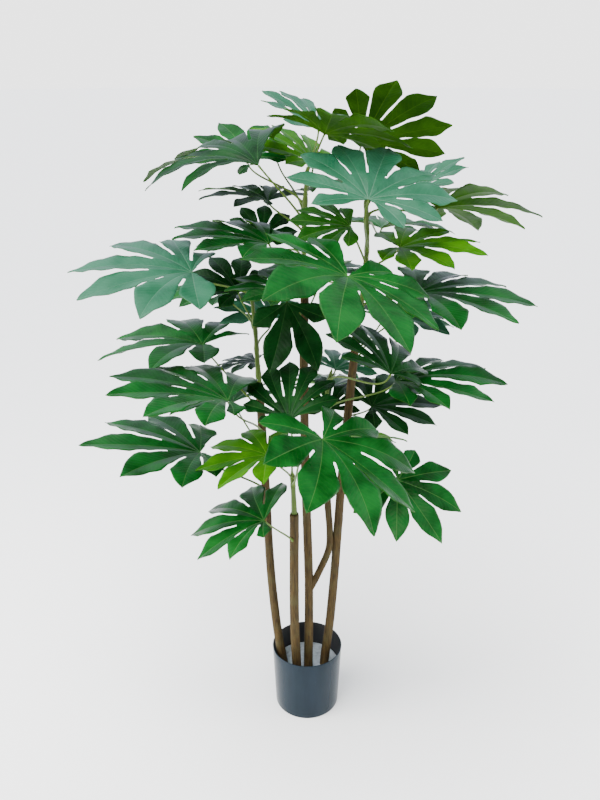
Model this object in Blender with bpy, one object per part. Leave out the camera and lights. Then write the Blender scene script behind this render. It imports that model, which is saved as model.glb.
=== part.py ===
"""Potted fatsia: a 1.5 m plant of four brown trunks in a dark pot, with green shoots and palmate leaves.

Metres, +Z up. The origin is the centre of the pot's base, on the surface that the pot stands on.
The viewer of the plant's front looks along +Y, with +X to the right.
"""

import math
import random
from dataclasses import dataclass

import bmesh
import bpy
from mathutils import Matrix, Vector

# Pot: a thin, slightly tapered plastic shell
POT_RIM_RADIUS = 0.087
POT_BASE_RADIUS = 0.0795
POT_HEIGHT = 0.172
POT_WALL = 0.0025
POT_FLOOR = 0.004
POT_EDGE_ROUND = 0.003
POT_LIP_ROUND = 0.001
POT_SIDES = 40

# Filling: the hard pale mass that the trunks stand in
FILL_TOP = 0.110
FILL_RINGS = (1.0, 0.82, 0.58, 0.30)
FILL_UNEVEN = 0.0015

# Clearance that neighbouring pieces keep
GAP = 0.0003

# Trunks, and the plain blind holes that they stand in
TRUNK_RADIUS = 0.0115
TRUNK_TIP_RADIUS = 0.0090
SHORT_TRUNK_TIP_RADIUS = 0.0110
TRUNK_SIDES = 8
TRUNK_WAVE = 0.0015
BRANCH_RADIUS = 0.0085
BRANCH_TIP_RADIUS = 0.0078
HOLE_FLOOR = 0.032
HOLE_SIDES = 16
HOLE_CLEARANCE = 0.0004

# Shoots
SHOOT_RADIUS = 0.0060
SHOOT_TIP_RADIUS = 0.0038
SHORT_SHOOT_RADIUS = 0.0070
SHORT_SHOOT_TIP_RADIUS = 0.0045
SHOOT_SIDES = 6
SHOOT_RINGS = 6

# Leaf stalks: how far a stalk leaves its stem outwards and upwards, and how it meets its blade from
# behind and below, as shares of its span
STALK_RADIUS = 0.0026
STALK_TIP_RADIUS = 0.0018
STALK_SIDES = 4
STALK_RINGS = 5
STALK_SEAT = 1.02
STALK_LEAVES_OUT = 0.19
STALK_LEAVES_UP = 0.21
STALK_MEETS_BEHIND = 0.105
STALK_MEETS_BELOW = 0.195

# Leaf blades, as shares of the middle lobe's length where they aren't metres
BLADE_THICKNESS = 0.0012
BLADE_BASE = 0.05
BLADE_BASE_LIFT = 0.004
SINUS_REACH = 0.34
LOBE_HALF_WIDTH = 0.190
SIDE_LOBE_LOSS = 0.45
BLADE_FOLD = 0.20
# Share of its bend by which a lobe rises from the hub before it arches over
LOBE_RISE = 0.5
FOLD_REACH = 0.60
# Where a lobe's edge bends: share of the lobe's length, and share of its half-width
LOBE_EDGE = ((0.46, 0.84), (0.68, 0.96))
# How much one lobe differs from the next: share of its length, and degrees of droop
LENGTH_SPREAD = 0.05
DROOP_SPREAD = 10.0
LEAST_DROOP = 2.0


@dataclass(frozen=True)
class Stem:
    """A trunk or a shoot: the points of its axis from the bottom up, and its radius at both ends.

    foot is the trunk's lower end in the filling, and the stem is straight from there to its first
    point. rings counts the rings above the foot.
    """

    name: str
    points: tuple
    radius: float
    tip_radius: float
    sides: int
    rings: int
    wave: float = 0.0
    foot: tuple = ()


@dataclass(frozen=True)
class Leaf:
    """A leaf: where its stalk leaves its stem and how its blade lies.

    height is where the stalk starts on the stem, hub is where stalk and blade meet. heading is the
    compass direction of the middle lobe seen from above, 0 to the right and 90 away from the viewer;
    pitch lifts that lobe, and roll lifts the blade's left side. fan is the outermost lobes' angle from
    the middle one, droop is how far the lobes bend between hub and tip, and lean lengthens the left
    lobes and shortens the right ones. Angles are degrees, lengths metres.
    """

    name: str
    stem: str
    height: float
    hub: tuple
    heading: float
    pitch: float
    roll: float
    length: float
    lobes: int
    fan: float
    droop: float
    lean: float
    tone: str


TRUNKS = (
    Stem("trunk_left", ((-0.060, -0.012, 0.125), (-0.073, -0.010, 0.215), (-0.084, -0.004, 0.325),
                        (-0.091, 0.000, 0.435), (-0.098, 0.005, 0.625), (-0.105, 0.012, 0.795),
                        (-0.109, 0.014, 0.880)),
         TRUNK_RADIUS, TRUNK_TIP_RADIUS, TRUNK_SIDES, 8, TRUNK_WAVE, (-0.056, -0.012, HOLE_FLOOR)),
    Stem("trunk_short", ((-0.026, -0.030, 0.125), (-0.031, -0.032, 0.260), (-0.032, -0.034, 0.400),
                         (-0.031, -0.036, 0.575)),
         TRUNK_RADIUS, SHORT_TRUNK_TIP_RADIUS, TRUNK_SIDES, 5, TRUNK_WAVE, (-0.024, -0.030, HOLE_FLOOR)),
    Stem("trunk_middle", ((0.003, -0.014, 0.125), (0.004, -0.012, 0.250), (0.003, -0.008, 0.400),
                          (-0.005, -0.004, 0.640), (-0.008, 0.002, 0.800), (-0.010, 0.008, 0.965),
                          (-0.008, 0.010, 1.080)),
         TRUNK_RADIUS, TRUNK_TIP_RADIUS, TRUNK_SIDES, 10, TRUNK_WAVE, (0.003, -0.014, HOLE_FLOOR)),
    Stem("trunk_right", ((0.044, -0.005, 0.125), (0.057, 0.000, 0.250), (0.067, 0.006, 0.400),
                         (0.077, 0.010, 0.605), (0.085, 0.010, 0.740), (0.093, 0.010, 0.850),
                         (0.104, 0.008, 1.000)),
         TRUNK_RADIUS, TRUNK_TIP_RADIUS, TRUNK_SIDES, 9, TRUNK_WAVE, (0.040, -0.006, HOLE_FLOOR)),
)
MIDDLE_BRANCH = Stem("branch", ((0.003, -0.010, 0.340), (0.022, -0.008, 0.380), (0.050, 0.000, 0.450),
                                (0.053, 0.006, 0.500), (0.048, 0.010, 0.565), (0.044, 0.012, 0.660)),
                     BRANCH_RADIUS, BRANCH_TIP_RADIUS, TRUNK_SIDES, 6)

SHOOTS = (
    Stem("shoot_left", ((-0.109, 0.014, 0.880), (-0.112, 0.015, 0.940), (-0.114, 0.012, 1.000),
                        (-0.122, 0.008, 1.100)),
         SHOOT_RADIUS, SHOOT_TIP_RADIUS, SHOOT_SIDES, SHOOT_RINGS),
    Stem("shoot_short", ((-0.031, -0.036, 0.575), (-0.033, -0.038, 0.630), (-0.036, -0.040, 0.690)),
         SHORT_SHOOT_RADIUS, SHORT_SHOOT_TIP_RADIUS, SHOOT_SIDES, 4),
    Stem("shoot_middle", ((-0.008, 0.010, 1.080), (-0.010, 0.012, 1.180), (-0.008, 0.010, 1.270),
                          (-0.004, 0.010, 1.345)),
         SHOOT_RADIUS, SHOOT_TIP_RADIUS, SHOOT_SIDES, SHOOT_RINGS),
    Stem("shoot_branch", ((0.044, 0.012, 0.660), (0.044, 0.010, 0.760), (0.042, 0.006, 0.860),
                          (0.052, 0.002, 0.920)),
         SHOOT_RADIUS, SHOOT_TIP_RADIUS, SHOOT_SIDES, SHOOT_RINGS),
    Stem("shoot_right", ((0.104, 0.008, 1.000), (0.114, 0.006, 1.090), (0.120, 0.004, 1.190),
                         (0.114, 0.006, 1.290)),
         SHOOT_RADIUS, SHOOT_TIP_RADIUS, SHOOT_SIDES, SHOOT_RINGS),
)

LEAVES = (
    # Top of the crown
    Leaf("leaf_top_right", "shoot_right", 1.285, (0.110, 0.095, 1.380),
         330, 20, -45, 0.200, 8, 90, 30, 0.0, "under"),
    Leaf("leaf_top_under", "shoot_middle", 1.340, (0.030, -0.005, 1.410),
         310, 5, -20, 0.185, 7, 110, 30, -0.3, "under"),
    Leaf("leaf_top_pale", "shoot_middle", 1.335, (0.020, 0.075, 1.410),
         145, 30, 0, 0.150, 6, 55, 25, 0.0, "pale"),
    Leaf("leaf_top_light", "shoot_middle", 1.280, (0.010, 0.120, 1.340),
         145, 25, 0, 0.165, 6, 80, 25, 0.0, "lime"),
    Leaf("leaf_top_left", "shoot_middle", 1.240, (-0.095, -0.110, 1.365),
         155, -10, -10, 0.265, 7, 70, 65, -0.8, "green"),
    Leaf("leaf_top_left_back", "shoot_middle", 1.270, (-0.130, 0.145, 1.345),
         75, 25, 10, 0.145, 7, 115, 25, 0.9, "green"),
    Leaf("leaf_upper_left", "shoot_middle", 1.215, (-0.085, 0.060, 1.270),
         160, 5, 0, 0.155, 7, 110, 30, -0.7, "dark"),
    Leaf("leaf_upper_middle", "shoot_middle", 1.190, (-0.005, 0.175, 1.270),
         20, 5, -10, 0.130, 7, 100, 30, 0.0, "under"),
    Leaf("leaf_upper_face", "shoot_right", 1.180, (0.105, -0.180, 1.315),
         75, 20, 15, 0.195, 9, 125, 30, 0.1, "pale"),
    Leaf("leaf_upper_right", "shoot_right", 1.250, (0.270, 0.065, 1.255),
         335, 0, -25, 0.220, 7, 110, 30, 0.2, "under"),
    Leaf("leaf_lime_right", "shoot_right", 1.130, (0.180, -0.060, 1.200),
         355, 0, 5, 0.175, 8, 115, 25, 0.1, "lime"),
    Leaf("leaf_under_face", "shoot_right", 1.150, (0.080, -0.080, 1.245),
         185, 5, -20, 0.130, 7, 80, 25, 0.0, "under"),
    Leaf("leaf_top_back", "shoot_right", 1.270, (0.240, 0.150, 1.280),
         20, 30, 0, 0.120, 7, 90, 25, 0.0, "pale"),
    # Middle of the crown
    Leaf("leaf_front", "shoot_middle", 1.100, (0.065, -0.280, 1.200),
         260, -10, -20, 0.225, 9, 135, 35, -0.1, "green"),
    Leaf("leaf_far_left", "shoot_left", 1.080, (-0.230, -0.100, 1.160),
         180, 0, -10, 0.235, 7, 100, 30, 0.3, "pale"),
    Leaf("leaf_inner_back", "shoot_middle", 1.120, (-0.105, 0.170, 1.170),
         85, 30, 10, 0.110, 7, 95, 30, 0.1, "dark"),
    Leaf("leaf_inner_left", "shoot_middle", 1.090, (-0.080, -0.030, 1.200),
         160, 5, 0, 0.215, 7, 85, 30, 0.1, "green"),
    Leaf("leaf_left_inner", "shoot_left", 1.020, (-0.150, 0.040, 1.080),
         130, 25, -5, 0.130, 7, 110, 35, 0.0, "dark"),
    Leaf("leaf_front_inner", "shoot_middle", 1.120, (-0.040, -0.120, 1.125),
         150, 5, -5, 0.135, 7, 90, 30, 0.0, "dark"),
    Leaf("leaf_hanging", "trunk_middle", 1.040, (-0.045, -0.020, 1.075),
         285, -60, 0, 0.170, 4, 60, 20, 0.0, "dark"),
    Leaf("leaf_right", "shoot_right", 1.060, (0.225, -0.020, 1.095),
         335, -5, 0, 0.245, 8, 110, 30, 0.4, "green"),
    Leaf("leaf_right_back", "trunk_right", 0.950, (0.195, 0.080, 1.010),
         350, 0, 5, 0.150, 7, 100, 30, 0.0, "pale"),
    Leaf("leaf_right_inner", "shoot_branch", 0.890, (0.158, -0.190, 0.982),
         105, 15, 25, 0.180, 7, 90, 30, 0.2, "dark"),
    Leaf("leaf_low_right", "shoot_branch", 0.820, (0.180, -0.100, 0.930),
         355, 0, 0, 0.225, 7, 80, 30, 0.0, "green"),
    Leaf("leaf_low_right_back", "shoot_branch", 0.780, (0.145, 0.040, 0.810),
         20, 0, 10, 0.170, 8, 110, 30, 0.0, "dark"),
    Leaf("leaf_left_edge", "trunk_left", 0.820, (-0.235, 0.055, 0.955),
         155, -5, 0, 0.235, 7, 125, 35, 0.1, "green"),
    Leaf("leaf_left_back", "shoot_left", 0.960, (-0.085, 0.150, 0.985),
         130, 10, 0, 0.150, 7, 110, 25, 0.0, "pale"),
    Leaf("leaf_left", "trunk_left", 0.760, (-0.160, -0.190, 0.925),
         185, 10, 5, 0.250, 8, 100, 30, -0.5, "green"),
    Leaf("leaf_centre_back", "trunk_middle", 0.820, (0.065, 0.120, 0.870),
         60, 0, 5, 0.125, 7, 100, 30, 0.0, "pale"),
    # Lower part of the crown
    Leaf("leaf_front_low", "shoot_short", 0.650, (0.025, -0.280, 0.885),
         315, -30, -10, 0.225, 8, 120, 30, -0.1, "green"),
    Leaf("leaf_centre", "shoot_short", 0.680, (-0.040, -0.160, 0.870),
         100, 25, -15, 0.165, 8, 75, 35, -0.3, "dark"),
    Leaf("leaf_lime_left", "shoot_short", 0.670, (-0.085, -0.180, 0.800),
         190, -10, 0, 0.155, 7, 120, 25, -0.3, "lime"),
    Leaf("leaf_under_centre", "shoot_branch", 0.740, (0.065, -0.080, 0.795),
         350, 0, -30, 0.150, 7, 95, 25, 0.0, "under"),
    Leaf("leaf_low_left", "trunk_left", 0.620, (-0.235, -0.080, 0.755),
         195, 10, 0, 0.245, 7, 100, 25, -0.2, "green"),
    Leaf("leaf_bottom_left", "trunk_short", 0.500, (-0.095, -0.165, 0.635),
         170, -20, -5, 0.185, 7, 100, 35, -0.4, "green"),
    Leaf("leaf_bottom_right", "shoot_branch", 0.680, (0.195, -0.095, 0.695),
         330, -30, 20, 0.160, 8, 135, 25, -0.6, "green"),
    Leaf("leaf_mid_low", "shoot_branch", 0.760, (0.050, 0.050, 0.800),
         100, 15, 0, 0.125, 7, 100, 30, 0.0, "dark"),
    Leaf("leaf_mid_left", "shoot_left", 0.900, (-0.120, 0.130, 0.885),
         175, -10, 5, 0.115, 7, 90, 30, 0.0, "dark"),
    # Far side of the crown
    Leaf("leaf_rear_top", "shoot_middle", 1.245, (-0.070, 0.235, 1.330),
         120, -5, 0, 0.180, 8, 110, 40, 0.0, "green"),
    Leaf("leaf_rear_upper_left", "shoot_middle", 1.150, (-0.110, 0.260, 1.130),
         130, -5, 0, 0.180, 7, 110, 35, 0.0, "green"),
    Leaf("leaf_rear_upper_right", "shoot_right", 1.220, (0.170, 0.220, 1.180),
         60, -10, 0, 0.190, 8, 115, 40, 0.0, "green"),
    Leaf("leaf_rear_middle", "trunk_middle", 1.000, (0.030, 0.260, 1.060),
         85, -10, 0, 0.210, 8, 115, 35, 0.0, "green"),
    Leaf("leaf_rear_left", "shoot_left", 1.000, (-0.190, 0.190, 1.030),
         145, -5, 0, 0.170, 8, 110, 30, 0.0, "green"),
    Leaf("leaf_rear_right", "trunk_right", 0.900, (0.180, 0.200, 0.970),
         45, -10, 0, 0.190, 8, 110, 35, 0.0, "green"),
    Leaf("leaf_rear_low_left", "trunk_left", 0.700, (-0.180, 0.160, 0.770),
         130, -10, 0, 0.200, 7, 110, 40, 0.0, "green"),
    Leaf("leaf_rear_low", "shoot_branch", 0.700, (0.060, 0.230, 0.780),
         80, -15, 0, 0.200, 8, 115, 35, 0.0, "green"),
)

LEAF_COLOURS = {
    "green": (0.045, 0.210, 0.075),
    "dark": (0.012, 0.075, 0.028),
    "pale": (0.160, 0.370, 0.250),
    "lime": (0.170, 0.400, 0.020),
    "under": (0.070, 0.190, 0.012),
}
LEAF_ROUGHNESS = 0.45
POT_COLOUR = (0.055, 0.080, 0.105)
POT_ROUGHNESS = 0.35
FILL_COLOUR = (0.480, 0.470, 0.440)
FILL_ROUGHNESS = 0.95
TRUNK_COLOUR = (0.130, 0.085, 0.040)
TRUNK_ROUGHNESS = 0.80
SHOOT_COLOUR = (0.120, 0.230, 0.030)
SHOOT_ROUGHNESS = 0.50

UP = Vector((0.0, 0.0, 1.0))
# A direction that no stem runs along, from which the rings of a tube take their first corner
TUBE_GUIDE = Vector((1.0, 0.3, 0.1))
# Steps of the curve on which a stalk finds its starting point
AXIS_STEPS = 60


def material(name, colour, roughness):
    """A Principled material named after its object."""
    made = bpy.data.materials.new(name)
    made.use_nodes = True
    shader = made.node_tree.nodes["Principled BSDF"]
    shader.inputs["Base Color"].default_value = (*colour, 1.0)
    shader.inputs["Roughness"].default_value = roughness
    shader.inputs["Metallic"].default_value = 0.0
    return made


def add_object(name, mesh, colour, roughness, parent):
    """Put a mesh into the scene as one named object with its own material."""
    mesh.materials.clear()
    mesh.materials.append(material(name, colour, roughness))
    made = bpy.data.objects.new(name, mesh)
    bpy.context.scene.collection.objects.link(made)
    made.parent = parent
    return made


def add_helper(name, mesh):
    """An object that a Boolean uses up."""
    helper = bpy.data.objects.new(name, mesh)
    helper.hide_render = True
    helper.display_type = "WIRE"
    bpy.context.scene.collection.objects.link(helper)
    return helper


def combine(target, helpers, operation):
    """Fuse helpers into the target or cut them out of it, and remove them."""
    for helper in helpers:
        step = target.modifiers.new(helper.name, "BOOLEAN")
        step.operation = operation
        step.solver = "EXACT"
        step.object = helper
    graph = bpy.context.evaluated_depsgraph_get()
    graph.update()
    made = bpy.data.meshes.new_from_object(target.evaluated_get(graph))
    target.modifiers.clear()
    target.data = made
    for helper in helpers:
        bpy.data.objects.remove(helper)


def mesh_from(build, name):
    """A mesh filled by build(bm), with its faces turned outwards."""
    bm = bmesh.new()
    build(bm)
    bmesh.ops.recalc_face_normals(bm, faces=bm.faces)
    mesh = bpy.data.meshes.new(name)
    bm.to_mesh(mesh)
    bm.free()
    return mesh


def bridge(bm, lower, upper):
    """Four-sided faces between two rings of the same count."""
    for side in range(len(lower)):
        following = (side + 1) % len(lower)
        bm.faces.new((lower[side], lower[following], upper[following], upper[side]))


def add_level_ring(bm, radius, height):
    """A level ring of vertices about the pot's axis."""
    ring = []
    for side in range(POT_SIDES):
        angle = 2 * math.pi * side / POT_SIDES
        ring.append(bm.verts.new((radius * math.cos(angle), radius * math.sin(angle), height)))
    return ring


def pot_radius(height):
    """The pot's outer radius at a height."""
    return POT_BASE_RADIUS + (POT_RIM_RADIUS - POT_BASE_RADIUS) * height / POT_HEIGHT


def pot_mesh():
    """One thin tapered shell with a flat base, open at the top."""
    lip = POT_HEIGHT - POT_LIP_ROUND
    profile = (
        (pot_radius(0.0) - POT_EDGE_ROUND, 0.0),
        (pot_radius(0.0) - 0.3 * POT_EDGE_ROUND, 0.3 * POT_EDGE_ROUND),
        (pot_radius(POT_EDGE_ROUND), POT_EDGE_ROUND),
        (pot_radius(lip), lip),
        (pot_radius(POT_HEIGHT) - 0.5 * POT_WALL, POT_HEIGHT),
        (pot_radius(lip) - POT_WALL, lip),
        (pot_radius(POT_FLOOR) - POT_WALL, POT_FLOOR),
    )

    def build(bm):
        rings = [add_level_ring(bm, radius, height) for radius, height in profile]
        for lower, upper in zip(rings, rings[1:]):
            bridge(bm, lower, upper)
        bm.faces.new(rings[0])
        bm.faces.new(rings[-1])

    return mesh_from(build, "pot")


def filling_mesh():
    """The hard mass in the pot: it follows the pot's wall, and its top is slightly uneven."""
    draw = random.Random("filling")
    bottom = POT_FLOOR + GAP

    def build(bm):
        rings = [add_level_ring(bm, pot_radius(bottom) - POT_WALL - GAP, bottom)]
        for share in FILL_RINGS:
            rings.append(add_level_ring(bm, share * (pot_radius(FILL_TOP) - POT_WALL - GAP), FILL_TOP))
        for ring in rings[2:-1]:
            for vert in ring:
                vert.co.z += draw.uniform(-FILL_UNEVEN, FILL_UNEVEN)
        for lower, upper in zip(rings, rings[1:]):
            bridge(bm, lower, upper)
        bm.faces.new(rings[0])
        bm.faces.new(rings[-1])
        bmesh.ops.triangulate(bm, faces=bm.faces)

    return mesh_from(build, "filling")


def hole_mesh(trunk):
    """The plain hole that a trunk stands in, as a solid to cut away."""
    widest = trunk.radius + 0.5 * trunk.wave + HOLE_CLEARANCE
    radius = widest / math.cos(math.pi / HOLE_SIDES)
    path = [Vector(trunk.foot), Vector(trunk.points[0])]
    return mesh_from(lambda bm: add_tube(bm, path, (radius, radius), HOLE_SIDES, UP, UP), "hole")


def smooth_path(points, count):
    """count points evenly spread along a smooth curve through the given points."""
    knots = [Vector(point) for point in points]
    padded = [2 * knots[0] - knots[1], *knots, 2 * knots[-1] - knots[-2]]
    path = []
    for step in range(count):
        place = step * (len(knots) - 1) / (count - 1)
        index = min(int(place), len(knots) - 2)
        t = place - index
        a, b, c, d = padded[index:index + 4]
        path.append(0.5 * (2 * b + (c - a) * t + (2 * a - 5 * b + 4 * c - d) * t ** 2
                           + (3 * b - a - 3 * c + d) * t ** 3))
    return path


def between(start, end, share):
    """The value at a share of the way from start to end."""
    return start + (end - start) * share


def point_at_height(stem, height):
    """The point of a stem's axis at a height, and the stem's radius there."""
    path = smooth_path(stem.points, AXIS_STEPS)
    place = min(range(len(path)), key=lambda index: abs(path[index].z - height))
    return path[place], between(stem.radius, stem.tip_radius, place / (len(path) - 1))


def add_tube(bm, path, radii, sides, first_normal, last_normal=None):
    """A closed tube of polygon rings along a path, its rings kept from twisting."""
    tangents = []
    for index in range(len(path)):
        ahead = path[min(index + 1, len(path) - 1)]
        behind = path[max(index - 1, 0)]
        tangents.append((ahead - behind).normalized())
    tangents[0] = first_normal
    if last_normal is not None:
        tangents[-1] = last_normal
    guide = TUBE_GUIDE
    rings = []
    for centre, tangent, radius in zip(path, tangents, radii):
        guide = (guide - guide.dot(tangent) * tangent).normalized()
        second = tangent.cross(guide)
        ring = []
        for side in range(sides):
            angle = 2 * math.pi * side / sides
            spoke = math.cos(angle) * guide + math.sin(angle) * second
            ring.append(bm.verts.new(centre + radius * spoke))
        rings.append(ring)
    for lower, upper in zip(rings, rings[1:]):
        bridge(bm, lower, upper)
    bm.faces.new(rings[0])
    bm.faces.new(rings[-1])


def stem_mesh(stem):
    """A slightly knobbly tapered stem with level ends."""
    path = smooth_path(stem.points, stem.rings)
    if stem.foot:
        path.insert(0, Vector(stem.foot))
    path[0].z += GAP
    draw = random.Random(stem.name)
    radii = []
    for index in range(len(path)):
        radius = between(stem.radius, stem.tip_radius, index / (len(path) - 1))
        radii.append(radius + stem.wave * draw.uniform(-0.5, 0.5))
    return mesh_from(lambda bm: add_tube(bm, path, radii, stem.sides, UP, UP), stem.name)


def blade_point(angle, reach, length, droop, lift):
    """A point of the blade: on its lobe's arch, lifted off the lobe's fold line."""
    bend = math.radians(droop)
    rise = LOBE_RISE * bend
    turned = rise - bend * reach / length
    along = length / bend * (math.sin(rise) - math.sin(turned))
    up = length / bend * (math.cos(turned) - math.cos(rise))
    return Vector((along * math.cos(angle), along * math.sin(angle), up + lift))


def lobe_shapes(leaf):
    """Direction, length and droop of each lobe, right side first."""
    draw = random.Random(leaf.name)
    spread = math.radians(leaf.fan)
    shapes = []
    for index in range(leaf.lobes):
        angle = spread * (2 * index / (leaf.lobes - 1) - 1)
        loss = SIDE_LOBE_LOSS * (1 - leaf.lean * math.copysign(1.0, angle))
        length = leaf.length * (1 - loss * (angle / spread) ** 2)
        length *= draw.uniform(1 - LENGTH_SPREAD, 1 + LENGTH_SPREAD)
        droop = max(LEAST_DROOP, leaf.droop + draw.uniform(-DROOP_SPREAD, DROOP_SPREAD))
        shapes.append((angle, length, droop))
    return shapes


def add_blade_side(bm, leaf, level):
    """One side of a blade; returns its rim.

    Each lobe is a fan of triangles about a point of its fold line, alike on both sides of the blade.
    """
    shapes = lobe_shapes(leaf)
    half_width = LOBE_HALF_WIDTH * leaf.length
    half_step = (shapes[1][0] - shapes[0][0]) / 2

    def vert(angle, reach, length, droop, lift=0.0):
        return bm.verts.new(blade_point(angle, reach, length, droop, lift + level))

    hub = bm.verts.new((0.0, 0.0, level))
    base = bm.verts.new((-BLADE_BASE * leaf.length, 0.0, BLADE_BASE_LIFT + level))
    rim = []
    before = base
    for index, (angle, length, droop) in enumerate(shapes):
        fold = vert(angle, FOLD_REACH * length, length, droop)
        edges = {}
        for side in (-1, 1):
            for place, (reach, width) in enumerate(LOBE_EDGE):
                across = side * math.atan(width * half_width / (reach * length))
                out = reach * length / math.cos(across)
                lift = BLADE_FOLD * width * half_width
                edges[side, place] = vert(angle + across, out, length, droop, lift)
        tip = vert(angle, length, length, droop)
        after = base
        if index + 1 < len(shapes):
            next_length, next_droop = shapes[index + 1][1:]
            reach = SINUS_REACH * min(length, next_length)
            lift = 0.5 * BLADE_FOLD * reach
            after = vert(angle + half_step, reach, leaf.length, 0.5 * (droop + next_droop), lift)
        outline = [before, edges[-1, 0], edges[-1, 1], tip, edges[1, 1], edges[1, 0], after]
        for first, second in zip([hub, *outline], [*outline, hub]):
            bm.faces.new((first, second, fold))
        rim += outline[:-1]
        before = after
    return rim


def blade_mesh(leaf):
    """A palmate blade in its own frame: hub at the origin, middle lobe along +X, upper side +Z."""

    def build(bm):
        upper = add_blade_side(bm, leaf, 0.0)
        lower = add_blade_side(bm, leaf, -BLADE_THICKNESS)
        for index in range(len(upper)):
            following = (index + 1) % len(upper)
            bm.faces.new((upper[index], lower[index], upper[following]))
            bm.faces.new((upper[following], lower[index], lower[following]))

    return mesh_from(build, leaf.name)


def blade_frame(leaf):
    """The matrix that places a blade: hub, heading, pitch and roll."""
    return (Matrix.Translation(leaf.hub)
            @ Matrix.Rotation(math.radians(leaf.heading), 4, "Z")
            @ Matrix.Rotation(math.radians(-leaf.pitch), 4, "Y")
            @ Matrix.Rotation(math.radians(leaf.roll), 4, "X"))


def stalk_path(leaf, stem):
    """The stalk's points from the stem's surface into the blade's hub, and the stem's outward side."""
    axis, radius = point_at_height(stem, leaf.height)
    frame = blade_frame(leaf)
    upper = frame.to_3x3() @ UP
    middle = frame.to_3x3() @ Vector((1.0, 0.0, 0.0))
    outward = frame.translation - axis
    outward.z = 0.0
    outward.normalize()
    start = axis + outward * (radius * STALK_SEAT + GAP)
    end = frame.translation - upper * (0.5 * BLADE_THICKNESS)
    span = (end - start).length
    leaves = start + (outward * STALK_LEAVES_OUT + UP * STALK_LEAVES_UP) * span
    meets = end - (middle * STALK_MEETS_BEHIND + upper * STALK_MEETS_BELOW) * span
    path = []
    for step in range(STALK_RINGS + 1):
        t = step / STALK_RINGS
        s = 1 - t
        path.append(s ** 3 * start + 3 * s ** 2 * t * leaves + 3 * s * t ** 2 * meets + t ** 3 * end)
    return path, outward


def add_leaf(leaf, stem, parent):
    """One leaf: its blade fused with its stalk."""
    blade = add_object(leaf.name, blade_mesh(leaf), LEAF_COLOURS[leaf.tone], LEAF_ROUGHNESS, parent)
    blade.data.transform(blade_frame(leaf))
    path, outward = stalk_path(leaf, stem)
    radii = []
    for index in range(len(path)):
        radii.append(between(STALK_RADIUS, STALK_TIP_RADIUS, index / (len(path) - 1)))
    stalk = mesh_from(lambda bm: add_tube(bm, path, radii, STALK_SIDES, outward), "stalk")
    combine(blade, [add_helper("stalk", stalk)], "UNION")


def build_plant():
    """Everything, under one empty."""
    for old in list(bpy.data.objects):
        bpy.data.objects.remove(old)
    root = bpy.data.objects.new("potted_fatsia", None)
    bpy.context.scene.collection.objects.link(root)

    add_object("pot", pot_mesh(), POT_COLOUR, POT_ROUGHNESS, root)
    filling = add_object("filling", filling_mesh(), FILL_COLOUR, FILL_ROUGHNESS, root)
    combine(filling, [add_helper(trunk.name, hole_mesh(trunk)) for trunk in TRUNKS], "DIFFERENCE")

    for trunk in TRUNKS:
        made = add_object(trunk.name, stem_mesh(trunk), TRUNK_COLOUR, TRUNK_ROUGHNESS, root)
        if trunk.name == "trunk_middle":
            combine(made, [add_helper("branch", stem_mesh(MIDDLE_BRANCH))], "UNION")
    for shoot in SHOOTS:
        add_object(shoot.name, stem_mesh(shoot), SHOOT_COLOUR, SHOOT_ROUGHNESS, root)

    stems = {stem.name: stem for stem in TRUNKS + SHOOTS}
    for leaf in LEAVES:
        add_leaf(leaf, stems[leaf.stem], root)


build_plant()
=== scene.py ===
"""Potted fatsia, dressed: finer leaves, stems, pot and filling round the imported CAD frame.

Metres, +Z up, in the frame of the CAD. The viewer of the plant's front looks along +Y, +X to the right.
The plant is a made one: leaves of latex-coated polyester cloth on moulded polyethylene shoots, which
are plugged into real wooden trunks that stand in a cast filling inside a thin polypropylene pot.
"""

from __future__ import annotations

import logging
import math
import random
from dataclasses import dataclass
from enum import Enum
from typing import Any, Callable, Sequence

import bmesh
import bpy
from mathutils import Matrix, Vector, noise

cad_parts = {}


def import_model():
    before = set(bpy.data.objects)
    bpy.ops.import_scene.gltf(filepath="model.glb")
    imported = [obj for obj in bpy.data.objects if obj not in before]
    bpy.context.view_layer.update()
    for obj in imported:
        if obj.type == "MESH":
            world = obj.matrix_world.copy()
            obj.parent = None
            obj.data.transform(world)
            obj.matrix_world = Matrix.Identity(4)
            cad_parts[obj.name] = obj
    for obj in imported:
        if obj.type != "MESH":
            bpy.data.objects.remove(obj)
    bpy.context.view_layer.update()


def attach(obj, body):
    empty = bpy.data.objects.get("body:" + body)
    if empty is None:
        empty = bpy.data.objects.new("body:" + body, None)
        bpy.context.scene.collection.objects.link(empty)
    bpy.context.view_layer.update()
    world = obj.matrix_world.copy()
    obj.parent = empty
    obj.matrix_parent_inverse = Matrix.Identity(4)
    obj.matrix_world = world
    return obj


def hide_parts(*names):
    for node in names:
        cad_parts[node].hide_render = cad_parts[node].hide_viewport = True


LOG = logging.getLogger("potted_fatsia")

MM = 0.001
UP = Vector((0.0, 0.0, 1.0))
GAP = 0.3 * MM
BLADE_UV = "blade"


# Small helpers


def linear(hex_colour: str) -> tuple[float, float, float, float]:
    """Turn an sRGB hex colour into linear RGBA.

    Args:
        hex_colour: Six hex digits after a hash.

    Returns:
        Linear red, green, blue and an alpha of 1.
    """
    digits = hex_colour.lstrip("#")
    channels = []
    for start in (0, 2, 4):
        value = int(digits[start:start + 2], 16) / 255
        channels.append(value / 12.92 if value <= 0.04045 else ((value + 0.055) / 1.055) ** 2.4)
    return channels[0], channels[1], channels[2], 1.0


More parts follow.
